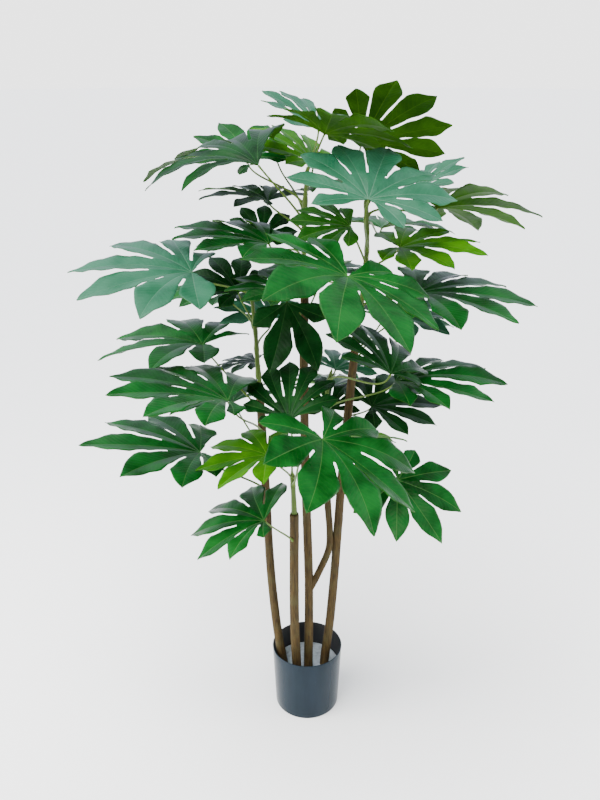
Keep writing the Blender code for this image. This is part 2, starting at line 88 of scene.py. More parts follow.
def add_node(tree: bpy.types.NodeTree, kind: str, settings: dict[Any, Any] | None = None,
             links: dict[Any, bpy.types.NodeSocket] | None = None) -> bpy.types.Node:
    """Add one shader node with its settings and links.

    Args:
        tree: The node tree to add to.
        kind: The node's type.
        settings: Values by socket number, socket name or, after a dot, the name of a property.
        links: The outputs that feed sockets, by socket number or name.

    Returns:
        The new node.
    """
    node = tree.nodes.new(kind)
    for key, value in (settings or {}).items():
        if isinstance(key, str) and key.startswith("."):
            setattr(node, key[1:], value)
        else:
            node.inputs[key].default_value = value
    for key, source in (links or {}).items():
        tree.links.new(source, node.inputs[key])
    return node


def between(start: float, end: float, share: float) -> float:
    """The value at a share of the way from start to end."""
    return start + (end - start) * share


def ease(low: float, high: float, value: float) -> float:
    """A smooth step from 0 at low to 1 at high."""
    share = min(1.0, max(0.0, (value - low) / (high - low)))
    return share * share * (3 - 2 * share)


def through(knots: Sequence[tuple[float, float]], place: float) -> float:
    """A smooth curve's value at a place.

    Args:
        knots: Pairs of place and value, in order.
        place: Where the curve is read.

    Returns:
        The value, held at the ends.
    """
    if place <= knots[0][0]:
        return knots[0][1]
    for (x0, y0), (x1, y1) in zip(knots, knots[1:]):
        if place <= x1:
            return between(y0, y1, ease(x0, x1, place) * 0.5 + 0.5 * (place - x0) / (x1 - x0))
    return knots[-1][1]


def smooth_path(points: Sequence[Vector], count: int) -> list[Vector]:
    """Points evenly spread along a smooth curve.

    Args:
        points: The points that the curve goes through.
        count: How many points to return.

    Returns:
        The curve's points, from the first given point to the last.
    """
    knots = [Vector(point) for point in points]
    padded = [2 * knots[0] - knots[1], *knots, 2 * knots[-1] - knots[-2]]
    path = []
    for step in range(count):
        place = step * (len(knots) - 1) / (count - 1)
        index = min(int(place), len(knots) - 2)
        t = place - index
        a, b, c, d = padded[index:index + 4]
        path.append(0.5 * (2 * b + (c - a) * t + (2 * a - 5 * b + 4 * c - d) * t ** 2
                           + (3 * b - a - 3 * c + d) * t ** 3))
    return path


def sweep(bm: bmesh.types.BMesh, path: Sequence[Vector], radius: Callable[[int, float], float],
          sides: int, slot: int = 0) -> None:
    """Add a closed tube along a path.

    Args:
        bm: The mesh to add to.
        path: The points of the tube's axis.
        radius: Gives the radius for a ring's number and an angle about the axis.
        sides: Corners of a ring.
        slot: The material slot of the tube's faces.
    """
    guide = Vector((1.0, 0.3, 0.1))
    rings = []
    for index, centre in enumerate(path):
        tangent = (path[min(index + 1, len(path) - 1)] - path[max(index - 1, 0)]).normalized()
        guide = (guide - guide.dot(tangent) * tangent).normalized()
        second = tangent.cross(guide)
        ring = []
        for side in range(sides):
            angle = math.tau * side / sides
            spoke = math.cos(angle) * guide + math.sin(angle) * second
            ring.append(bm.verts.new(centre + radius(index, angle) * spoke))
        rings.append(ring)
    faces = [bm.faces.new(rings[0][::-1]), bm.faces.new(rings[-1])]
    for lower, upper in zip(rings, rings[1:]):
        for side in range(sides):
            following = (side + 1) % sides
            faces.append(bm.faces.new((lower[side], lower[following], upper[following], upper[side])))
    for face in faces:
        face.material_index = slot
        face.smooth = True


def lathe(bm: bmesh.types.BMesh, profile: Sequence[tuple[float, float, int]], sides: int) -> None:
    """Add a turned body about the Z axis, with a flat cap at each end of its profile.

    Args:
        bm: The mesh to add to.
        profile: Radius, height and material slot of each ring, from the underside round to the inside.
        sides: Corners of a ring.
    """
    rings = []
    for radius, height, _ in profile:
        ring = []
        for side in range(sides):
            angle = math.tau * side / sides
            ring.append(bm.verts.new((radius * math.cos(angle), radius * math.sin(angle), height)))
        rings.append(ring)
    faces = [bm.faces.new(rings[0][::-1]), bm.faces.new(rings[-1])]
    faces[0].material_index = profile[0][2]
    faces[1].material_index = profile[-1][2]
    for index, (lower, upper) in enumerate(zip(rings, rings[1:])):
        for side in range(sides):
            following = (side + 1) % sides
            face = bm.faces.new((lower[side], lower[following], upper[following], upper[side]))
            face.material_index = profile[index + 1][2]
            face.smooth = True


def finish_piece(bm: bmesh.types.BMesh, name: str, materials: Sequence[bpy.types.Material],
                 nodes: Sequence[str]) -> bpy.types.Object:
    """Turn a filled mesh into a piece of the plant that stands for CAD nodes.

    Args:
        bm: The mesh, which is freed.
        name: The piece's name.
        materials: Its material slots in order.
        nodes: The CAD nodes that it replaces.

    Returns:
        The new object.
    """
    mesh = bpy.data.meshes.new(name)
    bm.to_mesh(mesh)
    bm.free()
    for material in materials:
        mesh.materials.append(material)
    piece = bpy.data.objects.new(name, mesh)
    bpy.context.scene.collection.objects.link(piece)
    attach(piece, "root")
    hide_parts(*nodes)
    LOG.info("%s: %d faces", name, len(mesh.polygons))
    return piece


# Finishes


@dataclass(frozen=True)
class LeafCloth:
    """Polyester cloth dipped in latex and pressed between heated moulds: satin, with pressed-in veins.

    The print is a mid green that is mottled where the dye took unevenly, and the veins are printed
    paler. The latex skin gives a sheen where a leaf lies flat to the eye, and the pale tone's colours
    add a painted bluish white sheen on top of that.
    """

    name: str
    base: str
    shade: str
    vein: str
    roughness: float
    gloss: float = 0.25
    vein_strength: float = 0.45
    side_vein_strength: float = 0.06
    vein_spacing: float = 11 * MM
    mottle_size: float = 60 * MM
    weave_size: float = 2.5 * MM

    def material(self) -> bpy.types.Material:
        """Build the cloth's material.

        Returns:
            A material that reads the blade's own measure, millimetres across and along each lobe.
        """
        made = bpy.data.materials.new(self.name)
        made.use_nodes = True
        tree = made.node_tree
        shader = tree.nodes["Principled BSDF"]
        shader.inputs["IOR"].default_value = 1.45
        shader.inputs["Specular IOR Level"].default_value = self.gloss

        measure = add_node(tree, "ShaderNodeUVMap", {".uv_map": BLADE_UV})
        split = add_node(tree, "ShaderNodeSeparateXYZ", links={0: measure.outputs[0]})
        across = add_node(tree, "ShaderNodeMath", {".operation": "ABSOLUTE"}, {0: split.outputs["X"]})
        along = split.outputs["Y"]

        # The midrib is 3 mm wide at the hub and under 1 mm at the tip
        rib = add_node(tree, "ShaderNodeMapRange",
                       {"From Min": 0.0, "From Max": 0.22, "To Min": 1.0 * MM, "To Max": 0.35 * MM},
                       {"Value": along})
        from_rib = add_node(tree, "ShaderNodeMath", {".operation": "DIVIDE"},
                            {0: across.outputs[0], 1: rib.outputs[0]})
        midrib = add_node(tree, "ShaderNodeMapRange",
                          {".interpolation_type": "SMOOTHSTEP", "From Min": 0.45, "From Max": 1.25,
                           "To Min": 1.0, "To Max": 0.0}, {"Value": from_rib.outputs[0]})

        # Side veins leave the midrib at about 45 degrees, one every vein_spacing
        lean = add_node(tree, "ShaderNodeMath", {".operation": "MULTIPLY", 1: 0.85},
                        {0: across.outputs[0]})
        row = add_node(tree, "ShaderNodeMath", {".operation": "SUBTRACT"},
                       {0: along, 1: lean.outputs[0]})
        place = add_node(tree, "ShaderNodeTexCoord")
        drift = add_node(tree, "ShaderNodeTexNoise", {"Scale": 1 / (2 * self.vein_spacing), "Detail": 1.0},
                         {"Vector": place.outputs["Object"]})
        rows = add_node(tree, "ShaderNodeMath", {".operation": "DIVIDE", 1: self.vein_spacing},
                        {0: row.outputs[0]})
        drifted = add_node(tree, "ShaderNodeMath", {".operation": "MULTIPLY_ADD", 1: 0.7},
                           {0: drift.outputs["Fac"], 2: rows.outputs[0]})
        wave = add_node(tree, "ShaderNodeMath", {".operation": "PINGPONG", 1: 0.5},
                        {0: drifted.outputs[0]})
        side_vein = add_node(tree, "ShaderNodeMapRange",
                             {".interpolation_type": "SMOOTHSTEP", "From Min": 0.0, "From Max": 0.10,
                              "To Min": 1.0, "To Max": 0.0}, {"Value": wave.outputs[0]})

        # Printed colour: mottling, then side veins, then the midrib
        mottle = add_node(tree, "ShaderNodeTexNoise",
                          {"Scale": 1 / self.mottle_size, "Detail": 3.0, "Roughness": 0.55},
                          {"Vector": place.outputs["Object"]})
        spread = add_node(tree, "ShaderNodeMapRange", {"From Min": 0.35, "From Max": 0.65},
                          {"Value": mottle.outputs["Fac"]})
        print_mix = add_node(tree, "ShaderNodeMix",
                             {".data_type": "RGBA", 6: linear(self.base), 7: linear(self.shade)},
                             {0: spread.outputs[0]})
        side_share = add_node(tree, "ShaderNodeMath",
                              {".operation": "MULTIPLY", 1: self.side_vein_strength},
                              {0: side_vein.outputs[0]})
        side_mix = add_node(tree, "ShaderNodeMix", {".data_type": "RGBA", 7: linear(self.vein)},
                            {0: side_share.outputs[0], 6: print_mix.outputs[2]})
        rib_share = add_node(tree, "ShaderNodeMath", {".operation": "MULTIPLY", 1: self.vein_strength},
                             {0: midrib.outputs[0]})
        rib_mix = add_node(tree, "ShaderNodeMix", {".data_type": "RGBA", 7: linear(self.vein)},
                           {0: rib_share.outputs[0], 6: side_mix.outputs[2]})
        tree.links.new(rib_mix.outputs[2], shader.inputs["Base Color"])

        # The cloth's weave is too fine to show, so it is drawn at weave_size as a faint unevenness
        weave = add_node(tree, "ShaderNodeTexNoise", {"Scale": 1 / self.weave_size, "Detail": 2.0},
                         {"Vector": place.outputs["Object"]})
        skin = add_node(tree, "ShaderNodeMapRange",
                        {"From Min": 0.3, "From Max": 0.7, "To Min": self.roughness - 0.05,
                         "To Max": self.roughness + 0.07}, {"Value": mottle.outputs["Fac"]})
        tree.links.new(skin.outputs[0], shader.inputs["Roughness"])
        quilt = add_node(tree, "ShaderNodeMath", {".operation": "MULTIPLY_ADD", 1: 1.2},
                         {0: wave.outputs[0], 2: weave.outputs["Fac"]})
        groove = add_node(tree, "ShaderNodeMath", {".operation": "SUBTRACT"},
                          {0: quilt.outputs[0], 1: midrib.outputs[0]})
        relief = add_node(tree, "ShaderNodeBump", {"Strength": 0.35, "Distance": 0.8 * MM},
                          {"Height": groove.outputs[0]})
        tree.links.new(relief.outputs[0], shader.inputs["Normal"])
        return made


@dataclass(frozen=True)
class MouldedPlastic:
    """An injection-moulded plastic: even colour with a faint flow pattern and a satin skin."""

    name: str
    base: str
    shade: str
    roughness: float
    ior: float
    pattern_size: float
    stretch: float
    relief: float
    gloss: float = 0.5

    def material(self) -> bpy.types.Material:
        """Build the plastic's material.

        Returns:
            A material whose pattern runs lengthwise where stretch is over 1.
        """
        made = bpy.data.materials.new(self.name)
        made.use_nodes = True
        tree = made.node_tree
        shader = tree.nodes["Principled BSDF"]
        shader.inputs["IOR"].default_value = self.ior
        shader.inputs["Specular IOR Level"].default_value = self.gloss
        place = add_node(tree, "ShaderNodeTexCoord")
        run = add_node(tree, "ShaderNodeMapping", {"Scale": (1.0, 1.0, 1 / self.stretch)},
                       {"Vector": place.outputs["Object"]})
        flow = add_node(tree, "ShaderNodeTexNoise",
                        {"Scale": 1 / self.pattern_size, "Detail": 4.0, "Roughness": 0.6},
                        {"Vector": run.outputs[0]})
        share = add_node(tree, "ShaderNodeMapRange", {"From Min": 0.3, "From Max": 0.7},
                         {"Value": flow.outputs["Fac"]})
        tint = add_node(tree, "ShaderNodeMix",
                        {".data_type": "RGBA", 6: linear(self.base), 7: linear(self.shade)},
                        {0: share.outputs[0]})
        tree.links.new(tint.outputs[2], shader.inputs["Base Color"])
        gloss = add_node(tree, "ShaderNodeMapRange",
                         {"To Min": self.roughness - 0.04, "To Max": self.roughness + 0.06},
                         {"Value": flow.outputs["Fac"]})
        tree.links.new(gloss.outputs[0], shader.inputs["Roughness"])
        bump = add_node(tree, "ShaderNodeBump", {"Strength": 0.3, "Distance": self.relief},
                        {"Height": flow.outputs["Fac"]})
        tree.links.new(bump.outputs[0], shader.inputs["Normal"])
        return made


@dataclass(frozen=True)
class BarkedWood:
    """A slim wooden pole in its own bark: matt olive brown, streaked lengthwise, with dark specks."""

    name: str
    light: str
    dark: str
    lichen: str
    streak: float = 3.5 * MM
    speck: float = 2.2 * MM

    def material(self) -> bpy.types.Material:
        """Build the bark's material.

        Returns:
            A matt material with streaks about streak wide and specks about speck wide.
        """
        made = bpy.data.materials.new(self.name)
        made.use_nodes = True
        tree = made.node_tree
        shader = tree.nodes["Principled BSDF"]
        shader.inputs["Roughness"].default_value = 0.82
        shader.inputs["Specular IOR Level"].default_value = 0.2
        place = add_node(tree, "ShaderNodeTexCoord")
        run = add_node(tree, "ShaderNodeMapping", {"Scale": (1.0, 1.0, 0.09)},
                       {"Vector": place.outputs["Object"]})
        streaks = add_node(tree, "ShaderNodeTexNoise",
                           {"Scale": 1 / self.streak, "Detail": 5.0, "Roughness": 0.65},
                           {"Vector": run.outputs[0]})
        ramp = add_node(tree, "ShaderNodeMapRange", {"From Min": 0.34, "From Max": 0.68},
                        {"Value": streaks.outputs["Fac"]})
        wood = add_node(tree, "ShaderNodeMix",
                        {".data_type": "RGBA", 6: linear(self.dark), 7: linear(self.light)},
                        {0: ramp.outputs[0]})
        patches = add_node(tree, "ShaderNodeTexNoise", {"Scale": 1 / (35 * MM), "Detail": 3.0},
                           {"Vector": place.outputs["Object"]})
        patch = add_node(tree, "ShaderNodeMapRange",
                         {"From Min": 0.48, "From Max": 0.72, "To Max": 0.55},
                         {"Value": patches.outputs["Fac"]})
        mossy = add_node(tree, "ShaderNodeMix", {".data_type": "RGBA", 7: linear(self.lichen)},
                         {0: patch.outputs[0], 6: wood.outputs[2]})
        specks = add_node(tree, "ShaderNodeTexVoronoi", {"Scale": 1 / (4 * self.speck)},
                          {"Vector": place.outputs["Object"]})
        speck = add_node(tree, "ShaderNodeMapRange",
                         {"From Min": 0.12, "From Max": 0.22, "To Min": 0.6, "To Max": 0.0},
                         {"Value": specks.outputs["Distance"]})
        spotted = add_node(tree, "ShaderNodeMix", {".data_type": "RGBA", 7: linear("#2e2416")},
                           {0: speck.outputs[0], 6: mossy.outputs[2]})
        tree.links.new(spotted.outputs[2], shader.inputs["Base Color"])
        bump = add_node(tree, "ShaderNodeBump", {"Strength": 0.6, "Distance": 0.9 * MM},
                        {"Height": streaks.outputs["Fac"]})
        tree.links.new(bump.outputs[0], shader.inputs["Normal"])
        return made


@dataclass(frozen=True)
class CastCement:
    """Cement poured into the pot and left as it set: pale, matt, pitted and a little dusty."""

    name: str = "cast_cement"
    base: str = "#a4adb6"
    stain: str = "#7c8288"

    def material(self) -> bpy.types.Material:
        """Build the cement's material.

        Returns:
            A rough material with stains about 12 mm across and 1 mm pits.
        """
        made = bpy.data.materials.new(self.name)
        made.use_nodes = True
        tree = made.node_tree
        shader = tree.nodes["Principled BSDF"]
        shader.inputs["Roughness"].default_value = 0.95
        place = add_node(tree, "ShaderNodeTexCoord")
        stains = add_node(tree, "ShaderNodeTexNoise",
                          {"Scale": 1 / (12 * MM), "Detail": 6.0, "Roughness": 0.7},
                          {"Vector": place.outputs["Object"]})
        share = add_node(tree, "ShaderNodeMapRange", {"From Min": 0.42, "From Max": 0.70},
                         {"Value": stains.outputs["Fac"]})
        tint = add_node(tree, "ShaderNodeMix",
                        {".data_type": "RGBA", 6: linear(self.base), 7: linear(self.stain)},
                        {0: share.outputs[0]})
        tree.links.new(tint.outputs[2], shader.inputs["Base Color"])
        grit = add_node(tree, "ShaderNodeTexNoise", {"Scale": 1 / (1 * MM), "Detail": 4.0},
                        {"Vector": place.outputs["Object"]})
        bump = add_node(tree, "ShaderNodeBump", {"Strength": 0.7, "Distance": 0.8 * MM},
                        {"Height": grit.outputs["Fac"]})
        tree.links.new(bump.outputs[0], shader.inputs["Normal"])
        return made


@dataclass(frozen=True)
class MouldedInnerWall(MouldedPlastic):
    """The pot's inner wall: the same plastic, rougher and darkened near to black as painted shade."""


class Tone(Enum):
    """How a leaf is coloured, by its place in the crown; dark is painted shade and pale is painted sheen.
    """

    GREEN = "green"
    PAINTED_SHADE = "dark"
    PALE = "pale"
    LIME = "lime"
    UNDER = "under"


UPPER_CLOTH = {
    Tone.GREEN: LeafCloth("latex_cloth_green", "#033408", "#10541b", "#507e3f", 0.32, 0.14),
    # Painted shade: a darker copy of the green print for leaves that sit in shade inside the crown
    Tone.PAINTED_SHADE: LeafCloth("latex_cloth_painted_shade", "#032207", "#0d3a12", "#2c5927", 0.32, 0.12),
    # Painted sheen: a bluish pale print that stands in for the sheen of leaves lying flat to the eye
    Tone.PALE: LeafCloth("latex_cloth_painted_sheen", "#1b5237", "#2f6349", "#5d8169", 0.32, 0.22),
    Tone.LIME: LeafCloth("latex_cloth_lime", "#1f5903", "#3c7607", "#6c9330", 0.38, 0.08),
    Tone.UNDER: LeafCloth("latex_cloth_young", "#124207", "#245b12", "#558138", 0.38, 0.12),
}
UNDERSIDE_CLOTH = LeafCloth("latex_cloth_underside", "#193f03", "#2b5505", "#4b6f1d",
                            0.55, 0.08, 0.6, 0.15)
STALK_PLASTIC = MouldedPlastic("moulded_polyethylene_stalk", "#3c5718", "#506521", 0.42, 1.50,
                               12 * MM, 6.0, 0.2 * MM, 0.2)
SHOOT_PLASTIC = MouldedPlastic("moulded_polyethylene_shoot", "#354b16", "#465b1e", 0.45, 1.50,
                               9 * MM, 4.0, 0.4 * MM, 0.2)
POT_PLASTIC = MouldedPlastic("lacquered_polypropylene_pot", "#121e26", "#18242e", 0.24, 1.49,
                             30 * MM, 5.0, 0.02 * MM, 0.12)
# Painted shade: the inside of the pot is the pot's plastic darkened to near black
POT_INSIDE_PAINTED_SHADE = MouldedInnerWall("polypropylene_inside_painted_shade", "#07090c", "#0d1116", 0.60, 1.49,
                              30 * MM, 1.0, 0.1 * MM)
BARK = BarkedWood("barked_wood", "#4a3b1d", "#271d0d", "#3f3d24")
SCAR_WOOD = BarkedWood("sawn_wood_end", "#382d18", "#1f160d", "#352c19")
CEMENT = CastCement()


class FinishRack:
    """Builds each material once and hands it out."""

    def __init__(self) -> None:
        """Start with no material built."""
        self._made: dict[str, bpy.types.Material] = {}

    def get(self, finish: Any) -> bpy.types.Material:
        """The material of a finish, built on first use.

        Args:
            finish: One of the finishes above.

        Returns:
            Its material.
        """
        if finish.name not in self._made:
            self._made[finish.name] = finish.material()
        return self._made[finish.name]


# Trunks and shoots


@dataclass(frozen=True)
class Stem:
    """A trunk or a shoot: the points of its axis from the bottom up, and its radius at both ends."""

    name: str
    points: tuple[tuple[float, float, float], ...]
    radius: float
    tip_radius: float
    foot: tuple[float, float, float] | None = None

    AXIS_STEPS = 60

    def axis(self, count: int) -> list[Vector]:
        """The stem's axis as count points, straight from its foot to its first point."""
        path = smooth_path(self.points, count)
        if self.foot is None:
            return path
        first = Vector(self.points[0])
        foot = Vector(self.foot)
        steps = 12
        return [foot.lerp(first, step / steps) for step in range(steps)] + path

    def point_at_height(self, height: float) -> tuple[Vector, float]:
        """Find the axis at a height.

        Args:
            height: Metres above the pot's base.

        Returns:
            The axis's point there and the stem's radius.
        """
        path = smooth_path(self.points, self.AXIS_STEPS)
        place = min(range(len(path)), key=lambda index: abs(path[index].z - height))
        return path[place], between(self.radius, self.tip_radius, place / (len(path) - 1))


@dataclass(frozen=True)
class Trunk:
    """A barked pole with fine ridges, a knot here and there and a sawn top."""

    stem: Stem
    branch: Stem | None = None
    sides: int = 28
    rings: int = 90
    ridge: float = 0.35 * MM
    knot: float = 0.9 * MM
    edge: float = 1.2 * MM

    def _add(self, bm: bmesh.types.BMesh, stem: Stem) -> None:
        """Add one pole along a stem."""
        path = stem.axis(self.rings)
        last = len(path) - 1
        seed = Vector((random.Random(stem.name).uniform(0, 50), 0.0, 0.0))

        def radius(index: int, angle: float) -> float:
            """Radius with ridges along the pole and rounded knots."""
            centre = path[index]
            around = Vector((math.cos(angle), math.sin(angle), 0.0))
            ridges = noise.noise(seed + Vector((around.x * 2.2, around.y * 2.2, centre.z * 14)))
            knots = noise.noise(seed + Vector((around.x, around.y, centre.z * 42)))
            base = between(stem.radius, stem.tip_radius, index / last)
            rounded = self.edge if index == last else 0.0
            return base + self.ridge * ridges + self.knot * max(0.0, knots - 0.25) - rounded

        sweep(bm, path, radius, self.sides)

    def build(self, rack: FinishRack) -> bpy.types.Object:
        """Build the trunk.

        Args:
            rack: Where the materials come from.

        Returns:
            The dressed trunk.
        """
        bm = bmesh.new()
        self._add(bm, self.stem)
        if self.branch is not None:
            self._add(bm, self.branch)
        for face in bm.faces:
            if len(face.verts) > 4:
                face.material_index = 1
                face.smooth = False
        name = self.stem.name.replace("trunk", "pole")
        return finish_piece(bm, name, [rack.get(BARK), rack.get(SCAR_WOOD)], [self.stem.name])


@dataclass(frozen=True)
class Shoot:
    """A moulded green shoot: ringed where a stalk leaves it, with a bud at its top."""

    stem: Stem
    stalk_heights: tuple[float, ...]
    sides: int = 18
    rings: int = 72
    ring_swell: float = 1.1 * MM
    ring_length: float = 9 * MM
    bud_length: float = 16 * MM

    def build(self, rack: FinishRack) -> bpy.types.Object:
        """Build the shoot.

        Args:
            rack: Where the materials come from.

        Returns:
            The dressed shoot.
        """
        path = self.stem.axis(self.rings)
        last = len(path) - 1
        top = path[-1].z

        def radius(index: int, angle: float) -> float:
            """Radius that swells under each stalk and closes to a bud."""
            height = path[index].z
            base = between(self.stem.radius, self.stem.tip_radius, index / last)
            for leaves in self.stalk_heights:
                apart = (height - leaves) / self.ring_length
                base += self.ring_swell * math.exp(-apart * apart)
            ribs = 0.12 * MM * math.cos(5 * angle + height * 30)
            return (base + ribs) * (1 - 0.75 * ease(top - self.bud_length, top, height))

        bm = bmesh.new()
        sweep(bm, path, radius, self.sides)
        name = self.stem.name.replace("shoot", "sprig_stem")
        return finish_piece(bm, name, [rack.get(SHOOT_PLASTIC)], [self.stem.name])


# Leaves


@dataclass(frozen=True)
class Lobe:
    """One lobe of a blade: its direction from the middle lobe in radians, its length and its bend."""

    angle: float
    length: float
    droop: float
    twist: float
    sweep: float
    phase: float


@dataclass(frozen=True)
class Leaf:
    """A leaf: where its stalk leaves its stem and how its blade lies.

    height is where the stalk starts on the stem, hub is where stalk and blade meet. heading is the
    compass direction of the middle lobe seen from above, 0 to the right and 90 away from the viewer;
    pitch lifts that lobe, and roll lifts the blade's left side. fan is the outermost lobes' angle from
    the middle one, droop is how far the lobes bend between hub and tip, and lean lengthens the left
    lobes and shortens the right ones. Angles are degrees, lengths metres.
    """

    name: str
    stem: str
    height: float
    hub: tuple[float, float, float]
    heading: float
    pitch: float
    roll: float
    length: float
    lobes: int
    fan: float
    droop: float
    lean: float
    tone: str

    def frame(self) -> Matrix:
        """The matrix that places the blade: hub, heading, pitch and roll."""
        return (Matrix.Translation(self.hub)
                @ Matrix.Rotation(math.radians(self.heading), 4, "Z")
                @ Matrix.Rotation(math.radians(-self.pitch), 4, "Y")
                @ Matrix.Rotation(math.radians(self.roll), 4, "X"))

    def lobe_list(self) -> list[Lobe]:
        """The lobes, right side first, as long and as bent as in the CAD model."""
        draw = random.Random(self.name)
        fine = random.Random(self.name + " fine")
        spread = math.radians(self.fan)
        lobes = []
        for index in range(self.lobes):
            angle = spread * (2 * index / (self.lobes - 1) - 1)
            loss = BladeForm.SIDE_LOBE_LOSS * (1 - self.lean * math.copysign(1.0, angle))
            length = self.length * (1 - loss * (angle / spread) ** 2)
            length *= draw.uniform(1 - BladeForm.LENGTH_SPREAD, 1 + BladeForm.LENGTH_SPREAD)
            bend = self.droop + draw.uniform(-BladeForm.DROOP_SPREAD, BladeForm.DROOP_SPREAD)
            lobes.append(Lobe(angle, length, math.radians(max(BladeForm.LEAST_DROOP, bend)),
                              fine.uniform(-0.16, 0.16), fine.uniform(-0.06, 0.06),
                              fine.uniform(0.0, math.tau)))
        return lobes


class BladeForm:
    """The form that all blades share, as in the CAD model, with the finer outline of a real lobe.

    Shares are of the lobe's length along it and of its half-width across it.
    """

    THICKNESS = 0.7 * MM
    SINUS_REACH = 0.34
    LOBE_HALF_WIDTH = 0.190
    SIDE_LOBE_LOSS = 0.45
    FOLD = 0.20
    LOBE_RISE = 0.5
    LENGTH_SPREAD = 0.05
    DROOP_SPREAD = 10.0
    LEAST_DROOP = 2.0
    BASE_REACH = 0.16
    BASE_ANGLE = math.radians(24)
    SINUS_ROUND = 0.012
    OUTLINE = ((0.0, 0.50), (0.34, 0.66), (0.46, 0.88), (0.58, 1.0), (0.70, 0.93), (0.81, 0.70),
               (0.90, 0.42), (0.96, 0.18), (1.0, 0.015))
    PALM_ROWS = (0.0, 0.2, 0.4, 0.6, 0.8, 0.93)
    FREE_ROWS = (0.0, 0.015, 0.04, 0.08, 0.14, 0.21, 0.29, 0.37, 0.45, 0.53, 0.61, 0.69, 0.77, 0.84,
                 0.90, 0.95, 0.98, 1.0)
    COLUMNS = (-1.0, -0.82, -0.62, -0.42, -0.22, -0.07, 0.0, 0.07, 0.22, 0.42, 0.62, 0.82, 1.0)
    RIB_DEPTH = 0.9 * MM
    WAVE_HEIGHT = 1.6 * MM
    WAVE_LENGTH = 46 * MM


